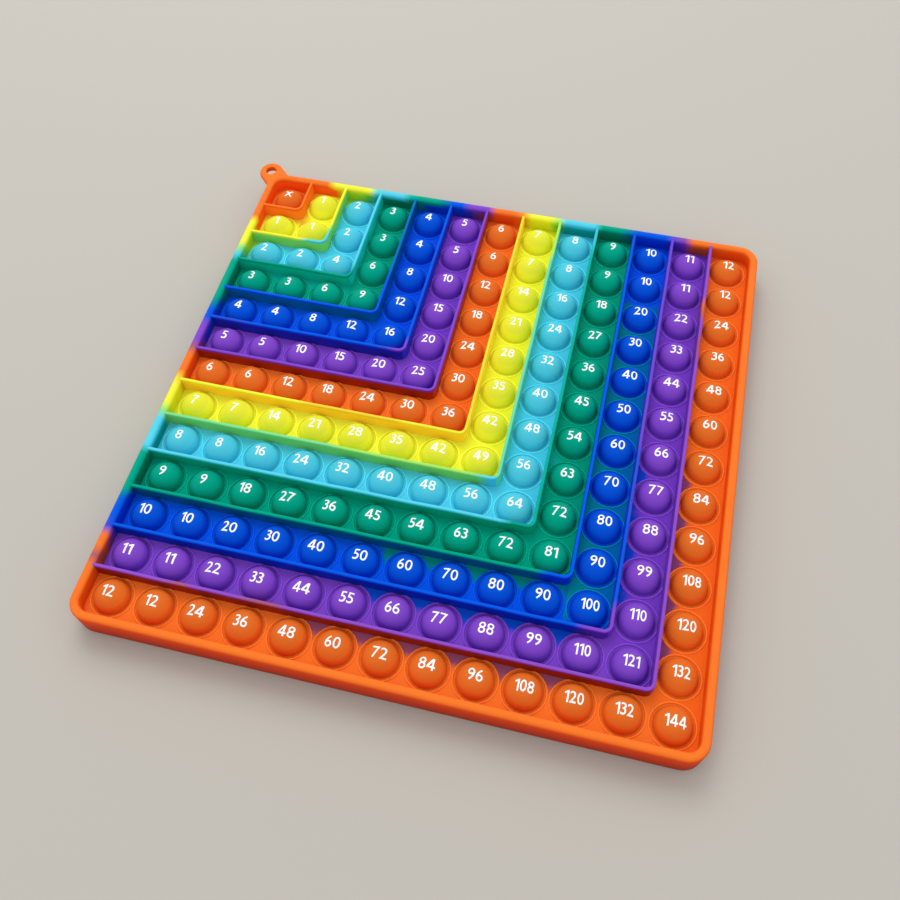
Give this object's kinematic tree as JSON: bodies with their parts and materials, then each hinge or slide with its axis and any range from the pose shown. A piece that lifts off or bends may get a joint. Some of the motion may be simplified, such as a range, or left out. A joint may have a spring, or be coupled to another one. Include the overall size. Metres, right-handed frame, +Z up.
{
  "type": "multiplication board game",
  "caption": "Square silicone board of push bubbles that form a multiplication table, parted into bands by L-shaped walls, with a rounded rim and a hanging loop.",
  "frame": {"origin": "middle of the whole outline, hanging loop included, on the plane that the board lies on", "axes": "+Z up out of the bubbles, +X along the rows of bubbles to their last column, +Y from the last row to the first row, which has the hanging loop at its -X end"},
  "size_m": [0.2763, 0.2763, 0.0164],
  "materials": {
    "silicone": "satin"
  },
  "bodies": {
    "root": {"silicone_board": "silicone"}
  },
  "joints": []
}
